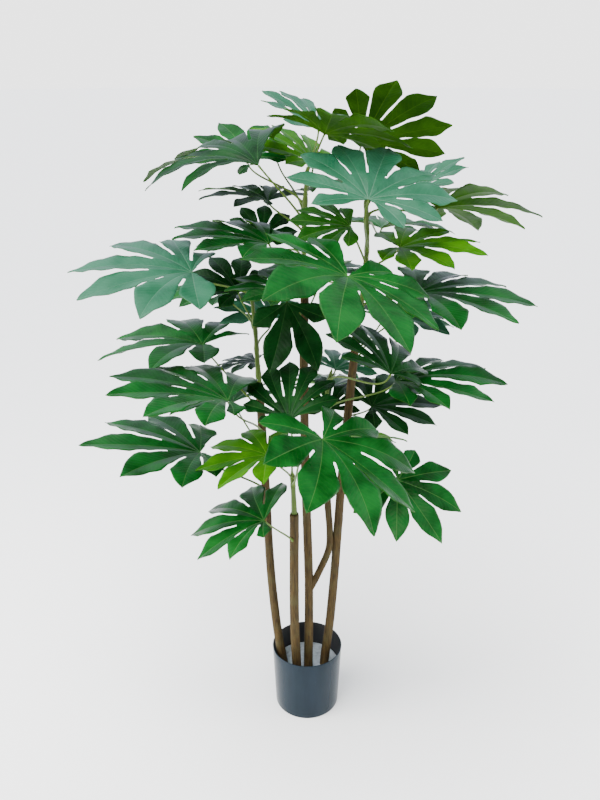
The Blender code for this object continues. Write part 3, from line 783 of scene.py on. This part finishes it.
class Blade:
    """The blade of one leaf: a palmate sheet, pleated along its lobes, with ribs on its underside."""

    def __init__(self, leaf: Leaf) -> None:
        """Work out the lobes and the rays between them.

        Args:
            leaf: The leaf whose blade this is.
        """
        self.leaf = leaf
        self.lobes = leaf.lobe_list()
        self.half_width = BladeForm.LOBE_HALF_WIDTH * leaf.length
        self.half_step = (self.lobes[1].angle - self.lobes[0].angle) / 2
        self.sinuses = self._sinuses()

    def _sinuses(self) -> list[float]:
        """How far along a lobe each ray between lobes reaches, with the blade's two ends."""
        reaches = [BladeForm.BASE_REACH * self.lobes[0].length]
        for lobe, following in zip(self.lobes, self.lobes[1:]):
            reaches.append(BladeForm.SINUS_REACH * min(lobe.length, following.length))
        reaches.append(BladeForm.BASE_REACH * self.lobes[-1].length)
        return reaches

    def _bend_at(self, angle: float) -> tuple[float, float]:
        """The bend and the length of the blade in a direction, blended between neighbouring lobes."""
        lobes = self.lobes
        if angle <= lobes[0].angle:
            return lobes[0].droop, lobes[0].length
        for lobe, following in zip(lobes, lobes[1:]):
            if angle <= following.angle:
                share = ease(lobe.angle, following.angle, angle)
                return (between(lobe.droop, following.droop, share),
                        between(lobe.length, following.length, share))
        return lobes[-1].droop, lobes[-1].length

    def _edge(self, lobe: Lobe, reach: float, sinus: float, half_angle: float) -> float:
        """The lobe's half-width at a reach along it.

        Args:
            lobe: The lobe.
            reach: Distance along the lobe.
            sinus: Where the ray to the neighbouring lobe ends.
            half_angle: The angle from the lobe to that ray.

        Returns:
            The half-width: on the ray up to the sinus, round its end and then on the lobe's outline.
        """
        ray = reach * math.tan(half_angle)
        if reach <= sinus:
            return ray
        scale = self.half_width * (0.55 + 0.45 * lobe.length / self.leaf.length)
        outline = scale * through(BladeForm.OUTLINE, reach / lobe.length)
        rounding = BladeForm.SINUS_ROUND * self.leaf.length
        turned = min(1.0, (reach - sinus) / rounding)
        opened = rounding * math.sqrt(max(0.0, 1 - (1 - turned) ** 2))
        return max(0.2 * MM, min(outline, ray - opened))

    def _surface(self, lobe: Lobe, reach: float, aside: float, edge: float, free: float) -> Vector:
        """A point of the upper side in the blade's own frame.

        Args:
            lobe: The lobe that the point is on.
            reach: Distance along the lobe.
            aside: Distance across it, left positive.
            edge: The lobe's half-width there.
            free: Share of the way from the palm to the lobe's tip.

        Returns:
            The point, with the hub at the origin.
        """
        swept = lobe.sweep * lobe.length * free * free
        x, y = reach, aside + swept
        far = math.hypot(x, y)
        direction = lobe.angle + math.atan2(y, x)
        bend, length = self._bend_at(direction)
        if free > 0:
            bend = between(bend, lobe.droop, free)
            length = between(length, lobe.length, free)
        rise = BladeForm.LOBE_RISE * bend
        turned = rise - bend * far / length
        along = length / bend * (math.sin(rise) - math.sin(turned))
        up = length / bend * (math.cos(turned) - math.cos(rise))
        share = abs(aside) / edge if edge > 0 else 0.0
        lift = BladeForm.FOLD * abs(aside) * (1 - 0.30 * share * share * free)
        lift += lobe.twist * aside * ease(0.0, 0.5, free)
        wave = math.sin(math.tau * reach / BladeForm.WAVE_LENGTH + lobe.phase + (2.0 if aside > 0 else 0.0))
        lift += BladeForm.WAVE_HEIGHT * wave * share * share * ease(0.0, 0.35, free)
        return Vector((along * math.cos(direction), along * math.sin(direction), lift + up))

    def _rows(self, lobe: Lobe, right: float, left: float) -> list[tuple[float, float, float, float]]:
        """The rows of a lobe's grid.

        Args:
            lobe: The lobe.
            right: Reach of the ray on its right side.
            left: Reach of the ray on its left side.

        Returns:
            Reach at the right edge, on the midrib and at the left edge, and the free share, per row.
        """
        middle = 0.5 * (right + left)
        rows = []
        for share in BladeForm.PALM_ROWS:
            rows.append((share * right, share * middle, share * left, 0.0))
        for share in BladeForm.FREE_ROWS:
            rows.append((between(right, lobe.length, share), between(middle, lobe.length, share),
                         between(left, lobe.length, share), share))
        return rows

    def add_to(self, bm: bmesh.types.BMesh) -> None:
        """Add the blade, its upper side in slot 0 and its underside in slot 1, about the origin."""
        measure = bm.loops.layers.uv.new(BLADE_UV)
        last = len(self.lobes) - 1
        for number, lobe in enumerate(self.lobes):
            right, left = self.sinuses[number], self.sinuses[number + 1]
            right_angle = BladeForm.BASE_ANGLE if number == 0 else self.half_step
            left_angle = BladeForm.BASE_ANGLE if number == last else self.half_step
            upper, lower, flat = [], [], []
            for reach_right, reach_middle, reach_left, free in self._rows(lobe, right, left):
                edge_right = self._edge(lobe, reach_right, right, right_angle)
                edge_left = self._edge(lobe, reach_left, left, left_angle)
                top_row, low_row, flat_row = [], [], []
                for column in BladeForm.COLUMNS:
                    share = abs(column)
                    reach_side, edge = (reach_right, edge_right) if column < 0 else (reach_left, edge_left)
                    reach = between(reach_middle, reach_side, share)
                    aside = math.copysign(edge * share, column)
                    point = self._surface(lobe, reach, aside, edge, free)
                    rib = BladeForm.RIB_DEPTH * (1 - reach / lobe.length) if column == 0.0 else 0.0
                    top_row.append(bm.verts.new(point))
                    low_row.append(bm.verts.new(point - Vector((0, 0, BladeForm.THICKNESS + rib))))
                    flat_row.append((aside, reach))
                upper.append(top_row)
                lower.append(low_row)
                flat.append(flat_row)
            self._skin(bm, measure, upper, lower, flat)

    def _skin(self, bm: bmesh.types.BMesh, measure: Any, upper: list, lower: list, flat: list) -> None:
        """Put faces on a lobe's grid and close its free edges."""
        columns = len(BladeForm.COLUMNS)

        def face(corners: list, places: list, slot: int) -> None:
            """One face with its blade measure."""
            made = bm.faces.new(corners)
            made.material_index = slot
            made.smooth = True
            for loop, place in zip(made.loops, places):
                loop[measure].uv = place

        for row in range(len(upper) - 1):
            for column in range(columns - 1):
                places = [flat[row][column], flat[row + 1][column], flat[row + 1][column + 1],
                          flat[row][column + 1]]
                corners = [upper[row][column], upper[row + 1][column], upper[row + 1][column + 1],
                           upper[row][column + 1]]
                face(corners, places, 0)
                under = [lower[row][column], lower[row + 1][column], lower[row + 1][column + 1],
                         lower[row][column + 1]]
                face(under[::-1], places[::-1], 1)
        palm = len(BladeForm.PALM_ROWS)
        for row in range(palm, len(upper) - 1):
            for column, turn in ((0, 1), (columns - 1, -1)):
                rim = [upper[row][column], lower[row][column], lower[row + 1][column],
                       upper[row + 1][column]]
                places = [flat[row][column]] * 2 + [flat[row + 1][column]] * 2
                face(rim[::turn], places[::turn], 1)
        tip = [(upper[-1][column], lower[-1][column]) for column in range(columns)]
        for column in range(columns - 1):
            rim = [tip[column][0], tip[column][1], tip[column + 1][1], tip[column + 1][0]]
            face(rim, [flat[-1][column]] * 2 + [flat[-1][column + 1]] * 2, 1)


@dataclass(frozen=True)
class LeafBuilder:
    """Builds a whole leaf: blade, stalk and the sheath by which the stalk holds its stem."""

    leaf: Leaf
    stem: Stem
    stalk_radius: float = 2.4 * MM
    stalk_tip_radius: float = 1.7 * MM
    stalk_rings: int = 26
    stalk_sides: int = 12
    sheath_swell: float = 2.2 * MM
    sheath_share: float = 0.10
    leaves_out: float = 0.19
    leaves_up: float = 0.21
    meets_behind: float = 0.105
    meets_below: float = 0.195

    def _stalk_path(self) -> list[Vector]:
        """The stalk's axis, on the same curve as the CAD model's, from inside the stem to the hub."""
        axis, radius = self.stem.point_at_height(self.leaf.height)
        frame = self.leaf.frame()
        upper = frame.to_3x3() @ UP
        middle = frame.to_3x3() @ Vector((1.0, 0.0, 0.0))
        outward = frame.translation - axis
        outward.z = 0.0
        outward.normalize()
        start = axis + outward * (radius * 0.4)
        end = frame.translation - upper * BladeForm.THICKNESS
        span = (end - start).length
        leaves = start + (outward * self.leaves_out + UP * self.leaves_up) * span
        meets = end - (middle * self.meets_behind + upper * self.meets_below) * span
        path = []
        for step in range(self.stalk_rings + 1):
            t = step / self.stalk_rings
            s = 1 - t
            path.append(s ** 3 * start + 3 * s ** 2 * t * leaves + 3 * s * t ** 2 * meets + t ** 3 * end)
        return path

    def build(self, rack: FinishRack) -> bpy.types.Object:
        """Build the leaf.

        Args:
            rack: Where the materials come from.

        Returns:
            The dressed leaf.
        """
        bm = bmesh.new()
        Blade(self.leaf).add_to(bm)
        bmesh.ops.transform(bm, matrix=self.leaf.frame(), verts=bm.verts)
        bmesh.ops.remove_doubles(bm, verts=bm.verts, dist=0.02 * MM)
        path = self._stalk_path()

        def radius(index: int, angle: float) -> float:
            """A round stalk that swells to its sheath at the stem and a little at the hub."""
            share = index / (len(path) - 1)
            swell = self.sheath_swell * (1 - ease(0.0, self.sheath_share, share))
            cushion = 0.7 * MM * ease(0.93, 1.0, share)
            return between(self.stalk_radius, self.stalk_tip_radius, share) + swell + cushion

        sweep(bm, path, radius, self.stalk_sides, 2)
        tone = Tone(self.leaf.tone)
        materials = [rack.get(UPPER_CLOTH[tone]), rack.get(UNDERSIDE_CLOTH), rack.get(STALK_PLASTIC)]
        name = self.leaf.name.replace("leaf", "sprig_leaf")
        return finish_piece(bm, name, materials, [self.leaf.name])


# Pot and filling


@dataclass(frozen=True)
class Pot:
    """A thin, slightly tapered pot with a flat base and a narrow rounded rim."""

    rim_radius: float = 0.087
    base_radius: float = 0.0795
    height: float = 0.172
    wall: float = 2.5 * MM
    floor: float = 4 * MM
    edge: float = 3 * MM
    sides: int = 160
    steps: int = 6

    def radius_at(self, height: float) -> float:
        """The outer radius at a height."""
        return between(self.base_radius, self.rim_radius, height / self.height)

    def build(self, rack: FinishRack) -> bpy.types.Object:
        """Build the pot.

        Args:
            rack: Where the materials come from.

        Returns:
            The dressed pot.
        """
        profile = []
        for step in range(self.steps + 1):
            turn = 0.5 * math.pi * step / self.steps
            height = self.edge * (1 - math.cos(turn))
            profile.append((self.radius_at(height) - self.edge * (1 - math.sin(turn)), height, 0))
        lip = 0.5 * self.wall
        for step in range(1, 9):
            height = between(self.edge, self.height - lip, step / 8)
            profile.append((self.radius_at(height), height, 0))
        for step in range(1, self.steps + 1):
            turn = math.pi * step / self.steps
            height = self.height - lip + lip * math.sin(turn)
            inward = lip * (1 - math.cos(turn))
            profile.append((self.radius_at(self.height) - inward, height, 0 if step < 5 else 1))
        for step in range(1, 9):
            height = between(self.height - lip, self.floor, step / 8)
            profile.append((self.radius_at(height) - self.wall, height, 1))
        bm = bmesh.new()
        lathe(bm, profile, self.sides)
        return finish_piece(bm, "moulded_pot", [rack.get(POT_PLASTIC), rack.get(POT_INSIDE_PAINTED_SHADE)], ["pot"])


@dataclass(frozen=True)
class Filling:
    """The cast filling: level but lumpy, and drawn up a little round each trunk."""

    pot: Pot
    trunks: tuple[Stem, ...]
    top: float = 0.110
    lump: float = 1.6 * MM
    collar: float = 2.5 * MM
    collar_width: float = 7 * MM
    sides: int = 120
    rings: int = 44

    def _height(self, x: float, y: float) -> float:
        """The top's height at a place."""
        lumps = noise.noise(Vector((x / 0.022, y / 0.022, 3.0))) + 0.4 * noise.noise(
            Vector((x / 0.007, y / 0.007, 9.0)))
        height = self.top + self.lump * lumps
        for trunk in self.trunks:
            axis = Vector(trunk.points[0])
            apart = (math.hypot(x - axis.x, y - axis.y) - trunk.radius) / self.collar_width
            height += self.collar * math.exp(-max(0.0, apart) ** 2)
        return height

    def build(self, rack: FinishRack) -> bpy.types.Object:
        """Build the filling.

        Args:
            rack: Where the materials come from.

        Returns:
            The dressed filling.
        """
        bottom = self.pot.floor + GAP
        bm = bmesh.new()
        clear = self.pot.wall + GAP
        outer = self.pot.radius_at(self.top) - clear
        ring_radii = [(self.pot.radius_at(bottom) - clear, bottom)]
        ring_radii += [(outer * (1 - (step / self.rings) ** 1.2), None) for step in range(self.rings)]
        rings = []
        for radius, height in ring_radii:
            ring = []
            for side in range(self.sides):
                angle = math.tau * side / self.sides
                x, y = radius * math.cos(angle), radius * math.sin(angle)
                ring.append(bm.verts.new((x, y, self._height(x, y) if height is None else height)))
            rings.append(ring)
        centre = bm.verts.new((0.0, 0.0, self._height(0.0, 0.0)))
        bm.faces.new(rings[0][::-1])
        for lower, upper in zip(rings, rings[1:]):
            for side in range(self.sides):
                following = (side + 1) % self.sides
                bm.faces.new((lower[side], lower[following], upper[following], upper[side])).smooth = True
        for side in range(self.sides):
            bm.faces.new((rings[-1][side], rings[-1][(side + 1) % self.sides], centre)).smooth = True
        return finish_piece(bm, "cast_filling", [rack.get(CEMENT)], ["filling"])


# Studio


@dataclass(frozen=True)
class SoftBox:
    """A square studio light: where it hangs, how large and how strong it is."""

    name: str
    place: tuple[float, float, float]
    size: float
    watts: float
    colour: str = "#fffaf2"
    aim: tuple[float, float, float] = (0.0, 0.0, 0.9)

    def build(self) -> None:
        """Hang the light and aim it."""
        data = bpy.data.lights.new(self.name, "AREA")
        data.shape = "SQUARE"
        data.size = self.size
        data.energy = self.watts
        data.color = linear(self.colour)[:3]
        lamp = bpy.data.objects.new(self.name, data)
        bpy.context.scene.collection.objects.link(lamp)
        lamp.location = self.place
        lamp.rotation_euler = (Vector(self.aim) - lamp.location).to_track_quat("-Z", "Y").to_euler()


@dataclass(frozen=True)
class SoftSun:
    """Even light from a large ceiling: where it comes from, how wide it looks and how strong it is."""

    comes_from: tuple[float, float, float] = (-0.35, -0.45, 1.0)
    width: float = 75.0
    strength: float = 9.0

    def build(self) -> None:
        """Hang the ceiling light."""
        data = bpy.data.lights.new("ceiling_light", "SUN")
        data.energy = self.strength
        data.angle = math.radians(self.width)
        lamp = bpy.data.objects.new("ceiling_light", data)
        bpy.context.scene.collection.objects.link(lamp)
        lamp.rotation_euler = Vector(self.comes_from).to_track_quat("Z", "Y").to_euler()


@dataclass(frozen=True)
class Studio:
    """A white floor and white surroundings with soft boxes, and the camera at the photo's place."""

    camera_place: tuple[float, float, float] = (-0.018, -1.70, 1.58)
    camera_pitch: float = 66.6
    lens: float = 37.6
    floor_radius: float = 30.0
    seen: float = 3.05
    behind: float = 1.3
    before: float = 0.10
    daylight: str = "#e2ecff"
    ceiling: SoftSun = SoftSun()
    lights: tuple[SoftBox, ...] = (
        SoftBox("left_box", (-2.2, -0.5, 1.0), 1.3, 80.0),
        SoftBox("right_box", (2.2, -0.4, 0.9), 1.3, 55.0),
    )

    def build(self) -> None:
        """Set up the floor, the lights and the camera."""
        self._floor()
        self._surround()
        self.ceiling.build()
        for light in self.lights:
            light.build()
        data = bpy.data.cameras.new("photo_camera")
        data.lens = self.lens
        camera = bpy.data.objects.new("photo_camera", data)
        camera.location = self.camera_place
        camera.rotation_euler = (math.radians(self.camera_pitch), 0.0, 0.0)
        bpy.context.scene.collection.objects.link(camera)
        bpy.context.scene.camera = camera

    def _floor(self) -> None:
        """A round white floor."""
        bm = bmesh.new()
        bmesh.ops.create_circle(bm, cap_ends=True, segments=96, radius=self.floor_radius)
        mesh = bpy.data.meshes.new("studio_floor")
        bm.to_mesh(mesh)
        bm.free()
        paint = bpy.data.materials.new("matt_white_paint")
        paint.use_nodes = True
        shader = paint.node_tree.nodes["Principled BSDF"]
        shader.inputs["Base Color"].default_value = linear("#fafafa")
        shader.inputs["Roughness"].default_value = 0.9
        shader.inputs["Specular IOR Level"].default_value = 0.0
        mesh.materials.append(paint)
        floor = bpy.data.objects.new("studio_floor", mesh)
        bpy.context.scene.collection.objects.link(floor)

    def _surround(self) -> None:
        """A white wall behind the plant that fades to a dim room before it, and an even white backdrop."""
        world = bpy.data.worlds.new("studio_surround")
        world.use_nodes = True
        tree = world.node_tree
        place = add_node(tree, "ShaderNodeTexCoord")
        split = add_node(tree, "ShaderNodeSeparateXYZ", links={0: place.outputs["Generated"]})
        strength = add_node(tree, "ShaderNodeMapRange",
                            {".interpolation_type": "SMOOTHSTEP", "From Min": -0.8, "From Max": 0.8,
                             "To Min": self.before, "To Max": self.behind}, {"Value": split.outputs["Y"]})
        room = tree.nodes["Background"]
        room.inputs["Color"].default_value = linear(self.daylight)
        tree.links.new(strength.outputs[0], room.inputs["Strength"])
        backdrop = add_node(tree, "ShaderNodeBackground",
                            {"Color": linear("#ffffff"), "Strength": self.seen})
        path = add_node(tree, "ShaderNodeLightPath")
        either = add_node(tree, "ShaderNodeMixShader", links={
            0: path.outputs["Is Camera Ray"], 1: room.outputs[0], 2: backdrop.outputs[0]})
        tree.links.new(either.outputs[0], tree.nodes["World Output"].inputs["Surface"])
        bpy.context.scene.world = world


# This plant


TRUNKS = (
    Stem("trunk_left", ((-0.060, -0.012, 0.125), (-0.073, -0.010, 0.215), (-0.084, -0.004, 0.325),
                        (-0.091, 0.000, 0.435), (-0.098, 0.005, 0.625), (-0.105, 0.012, 0.795),
                        (-0.109, 0.014, 0.880)),
         0.0115, 0.0090, foot=(-0.056, -0.012, 0.032)),
    Stem("trunk_short", ((-0.026, -0.030, 0.125), (-0.031, -0.032, 0.260), (-0.032, -0.034, 0.400),
                         (-0.031, -0.036, 0.575)),
         0.0115, 0.0110, foot=(-0.024, -0.030, 0.032)),
    Stem("trunk_middle", ((0.003, -0.014, 0.125), (0.004, -0.012, 0.250), (0.003, -0.008, 0.400),
                          (-0.005, -0.004, 0.640), (-0.008, 0.002, 0.800), (-0.010, 0.008, 0.965),
                          (-0.008, 0.010, 1.080)),
         0.0115, 0.0090, foot=(0.003, -0.014, 0.032)),
    Stem("trunk_right", ((0.044, -0.005, 0.125), (0.057, 0.000, 0.250), (0.067, 0.006, 0.400),
                         (0.077, 0.010, 0.605), (0.085, 0.010, 0.740), (0.093, 0.010, 0.850),
                         (0.104, 0.008, 1.000)),
         0.0115, 0.0090, foot=(0.040, -0.006, 0.032)),
)
MIDDLE_BRANCH = Stem("branch", ((0.003, -0.010, 0.340), (0.022, -0.008, 0.380), (0.050, 0.000, 0.450),
                                (0.053, 0.006, 0.500), (0.048, 0.010, 0.565), (0.044, 0.012, 0.660)),
                     0.0085, 0.0078)

SHOOTS = (
    Stem("shoot_left", ((-0.109, 0.014, 0.880), (-0.112, 0.015, 0.940), (-0.114, 0.012, 1.000),
                        (-0.122, 0.008, 1.100)),
         0.0060, 0.0038),
    Stem("shoot_short", ((-0.031, -0.036, 0.575), (-0.033, -0.038, 0.630), (-0.036, -0.040, 0.690)),
         0.0070, 0.0045),
    Stem("shoot_middle", ((-0.008, 0.010, 1.080), (-0.010, 0.012, 1.180), (-0.008, 0.010, 1.270),
                          (-0.004, 0.010, 1.345)),
         0.0060, 0.0038),
    Stem("shoot_branch", ((0.044, 0.012, 0.660), (0.044, 0.010, 0.760), (0.042, 0.006, 0.860),
                          (0.052, 0.002, 0.920)),
         0.0060, 0.0038),
    Stem("shoot_right", ((0.104, 0.008, 1.000), (0.114, 0.006, 1.090), (0.120, 0.004, 1.190),
                         (0.114, 0.006, 1.290)),
         0.0060, 0.0038),
)

# The last column is the tone: "dark" is painted shade for leaves inside the crown, "pale" is painted sheen
# for leaves lying flat to the eye
LEAVES = (
    # Top of the crown
    Leaf("leaf_top_right", "shoot_right", 1.285, (0.110, 0.095, 1.380),
         330, 20, -45, 0.200, 8, 90, 30, 0.0, "under"),
    Leaf("leaf_top_under", "shoot_middle", 1.340, (0.030, -0.005, 1.410),
         310, 5, -20, 0.185, 7, 110, 30, -0.3, "under"),
    Leaf("leaf_top_pale", "shoot_middle", 1.335, (0.020, 0.075, 1.410),
         145, 30, 0, 0.150, 6, 55, 25, 0.0, "pale"),
    Leaf("leaf_top_light", "shoot_middle", 1.280, (0.010, 0.120, 1.340),
         145, 25, 0, 0.165, 6, 80, 25, 0.0, "lime"),
    Leaf("leaf_top_left", "shoot_middle", 1.240, (-0.095, -0.110, 1.365),
         155, -10, -10, 0.265, 7, 70, 65, -0.8, "dark"),
    Leaf("leaf_top_left_back", "shoot_middle", 1.270, (-0.130, 0.145, 1.345),
         75, 25, 10, 0.145, 7, 115, 25, 0.9, "green"),
    Leaf("leaf_upper_left", "shoot_middle", 1.215, (-0.085, 0.060, 1.270),
         160, 5, 0, 0.155, 7, 110, 30, -0.7, "dark"),
    Leaf("leaf_upper_middle", "shoot_middle", 1.190, (-0.005, 0.175, 1.270),
         20, 5, -10, 0.130, 7, 100, 30, 0.0, "under"),
    Leaf("leaf_upper_face", "shoot_right", 1.180, (0.105, -0.180, 1.315),
         75, 20, 15, 0.195, 9, 125, 30, 0.1, "pale"),
    Leaf("leaf_upper_right", "shoot_right", 1.250, (0.270, 0.065, 1.255),
         335, 0, -25, 0.220, 7, 110, 30, 0.2, "under"),
    Leaf("leaf_lime_right", "shoot_right", 1.130, (0.180, -0.060, 1.200),
         355, 0, 5, 0.175, 8, 115, 25, 0.1, "lime"),
    Leaf("leaf_under_face", "shoot_right", 1.150, (0.080, -0.080, 1.245),
         185, 5, -20, 0.130, 7, 80, 25, 0.0, "under"),
    Leaf("leaf_top_back", "shoot_right", 1.270, (0.240, 0.150, 1.280),
         20, 30, 0, 0.120, 7, 90, 25, 0.0, "pale"),
    # Middle of the crown
    Leaf("leaf_front", "shoot_middle", 1.100, (0.065, -0.280, 1.200),
         260, -10, -20, 0.225, 9, 135, 35, -0.1, "green"),
    Leaf("leaf_far_left", "shoot_left", 1.080, (-0.230, -0.100, 1.160),
         180, 0, -10, 0.235, 7, 100, 30, 0.3, "pale"),
    Leaf("leaf_inner_back", "shoot_middle", 1.120, (-0.105, 0.170, 1.170),
         85, 30, 10, 0.110, 7, 95, 30, 0.1, "dark"),
    Leaf("leaf_inner_left", "shoot_middle", 1.090, (-0.080, -0.030, 1.200),
         160, 5, 0, 0.215, 7, 85, 30, 0.1, "green"),
    Leaf("leaf_left_inner", "shoot_left", 1.020, (-0.150, 0.040, 1.080),
         130, 25, -5, 0.130, 7, 110, 35, 0.0, "dark"),
    Leaf("leaf_front_inner", "shoot_middle", 1.120, (-0.040, -0.120, 1.125),
         150, 5, -5, 0.135, 7, 90, 30, 0.0, "dark"),
    Leaf("leaf_hanging", "trunk_middle", 1.040, (-0.045, -0.020, 1.075),
         285, -60, 0, 0.170, 4, 60, 20, 0.0, "dark"),
    Leaf("leaf_right", "shoot_right", 1.060, (0.225, -0.020, 1.095),
         335, -5, 0, 0.245, 8, 110, 30, 0.4, "green"),
    Leaf("leaf_right_back", "trunk_right", 0.950, (0.195, 0.080, 1.010),
         350, 0, 5, 0.150, 7, 100, 30, 0.0, "pale"),
    Leaf("leaf_right_inner", "shoot_branch", 0.890, (0.158, -0.190, 0.982),
         105, 15, 25, 0.180, 7, 90, 30, 0.2, "dark"),
    Leaf("leaf_low_right", "shoot_branch", 0.820, (0.180, -0.100, 0.930),
         355, 0, 0, 0.225, 7, 80, 30, 0.0, "green"),
    Leaf("leaf_low_right_back", "shoot_branch", 0.780, (0.145, 0.040, 0.810),
         20, 0, 10, 0.170, 8, 110, 30, 0.0, "dark"),
    Leaf("leaf_left_edge", "trunk_left", 0.820, (-0.235, 0.055, 0.955),
         155, -5, 0, 0.235, 7, 125, 35, 0.1, "green"),
    Leaf("leaf_left_back", "shoot_left", 0.960, (-0.085, 0.150, 0.985),
         130, 10, 0, 0.150, 7, 110, 25, 0.0, "pale"),
    Leaf("leaf_left", "trunk_left", 0.760, (-0.160, -0.190, 0.925),
         185, 10, 5, 0.250, 8, 100, 30, -0.5, "green"),
    Leaf("leaf_centre_back", "trunk_middle", 0.820, (0.065, 0.120, 0.870),
         60, 0, 5, 0.125, 7, 100, 30, 0.0, "pale"),
    # Lower part of the crown
    Leaf("leaf_front_low", "shoot_short", 0.650, (0.025, -0.280, 0.885),
         315, -30, -10, 0.225, 8, 120, 30, -0.1, "green"),
    Leaf("leaf_centre", "shoot_short", 0.680, (-0.040, -0.160, 0.870),
         100, 25, -15, 0.165, 8, 75, 35, -0.3, "dark"),
    Leaf("leaf_lime_left", "shoot_short", 0.670, (-0.085, -0.180, 0.800),
         190, -10, 0, 0.155, 7, 120, 25, -0.3, "lime"),
    Leaf("leaf_under_centre", "shoot_branch", 0.740, (0.065, -0.080, 0.795),
         350, 0, -30, 0.150, 7, 95, 25, 0.0, "under"),
    Leaf("leaf_low_left", "trunk_left", 0.620, (-0.235, -0.080, 0.755),
         195, 10, 0, 0.245, 7, 100, 25, -0.2, "green"),
    Leaf("leaf_bottom_left", "trunk_short", 0.500, (-0.095, -0.165, 0.635),
         170, -20, -5, 0.185, 7, 100, 35, -0.4, "green"),
    Leaf("leaf_bottom_right", "shoot_branch", 0.680, (0.195, -0.095, 0.695),
         330, -30, 20, 0.160, 8, 135, 25, -0.6, "green"),
    Leaf("leaf_mid_low", "shoot_branch", 0.760, (0.050, 0.050, 0.800),
         100, 15, 0, 0.125, 7, 100, 30, 0.0, "dark"),
    Leaf("leaf_mid_left", "shoot_left", 0.900, (-0.120, 0.130, 0.885),
         175, -10, 5, 0.115, 7, 90, 30, 0.0, "dark"),
    # Far side of the crown
    Leaf("leaf_rear_top", "shoot_middle", 1.245, (-0.070, 0.235, 1.330),
         120, -5, 0, 0.180, 8, 110, 40, 0.0, "green"),
    Leaf("leaf_rear_upper_left", "shoot_middle", 1.150, (-0.110, 0.260, 1.130),
         130, -5, 0, 0.180, 7, 110, 35, 0.0, "green"),
    Leaf("leaf_rear_upper_right", "shoot_right", 1.220, (0.170, 0.220, 1.180),
         60, -10, 0, 0.190, 8, 115, 40, 0.0, "green"),
    Leaf("leaf_rear_middle", "trunk_middle", 1.000, (0.030, 0.260, 1.060),
         85, -10, 0, 0.210, 8, 115, 35, 0.0, "green"),
    Leaf("leaf_rear_left", "shoot_left", 1.000, (-0.190, 0.190, 1.030),
         145, -5, 0, 0.170, 8, 110, 30, 0.0, "green"),
    Leaf("leaf_rear_right", "trunk_right", 0.900, (0.180, 0.200, 0.970),
         45, -10, 0, 0.190, 8, 110, 35, 0.0, "green"),
    Leaf("leaf_rear_low_left", "trunk_left", 0.700, (-0.180, 0.160, 0.770),
         130, -10, 0, 0.200, 7, 110, 40, 0.0, "green"),
    Leaf("leaf_rear_low", "shoot_branch", 0.700, (0.060, 0.230, 0.780),
         80, -15, 0, 0.200, 8, 115, 35, 0.0, "green"),
)


class PottedFatsia:
    """The whole plant, built from the ground up."""

    def __init__(self) -> None:
        """Gather the finishes."""
        self.rack = FinishRack()
        self.pot = Pot()

    def build(self) -> None:
        """Build every piece and report it."""
        self.pot.build(self.rack)
        Filling(self.pot, tuple(TRUNKS)).build(self.rack)
        for stem in TRUNKS:
            Trunk(stem, MIDDLE_BRANCH if stem.name == "trunk_middle" else None).build(self.rack)
        for stem in SHOOTS:
            heights = tuple(leaf.height for leaf in LEAVES if leaf.stem == stem.name)
            Shoot(stem, heights).build(self.rack)
        stems = {stem.name: stem for stem in (*TRUNKS, *SHOOTS)}
        for leaf in LEAVES:
            LeafBuilder(leaf, stems[leaf.stem]).build(self.rack)


def corners(box: tuple[Vector, Vector]) -> list[list[float]]:
    """A box's two corners as plain lists."""
    return [list(corner) for corner in box]


def main() -> None:
    """Load the frame and build the studio and the plant."""
    logging.basicConfig(level=logging.INFO, format="%(name)s: %(message)s")
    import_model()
    Studio().build()
    PottedFatsia().build()
    bpy.context.view_layer.update()


if __name__ == "__main__":
    main()
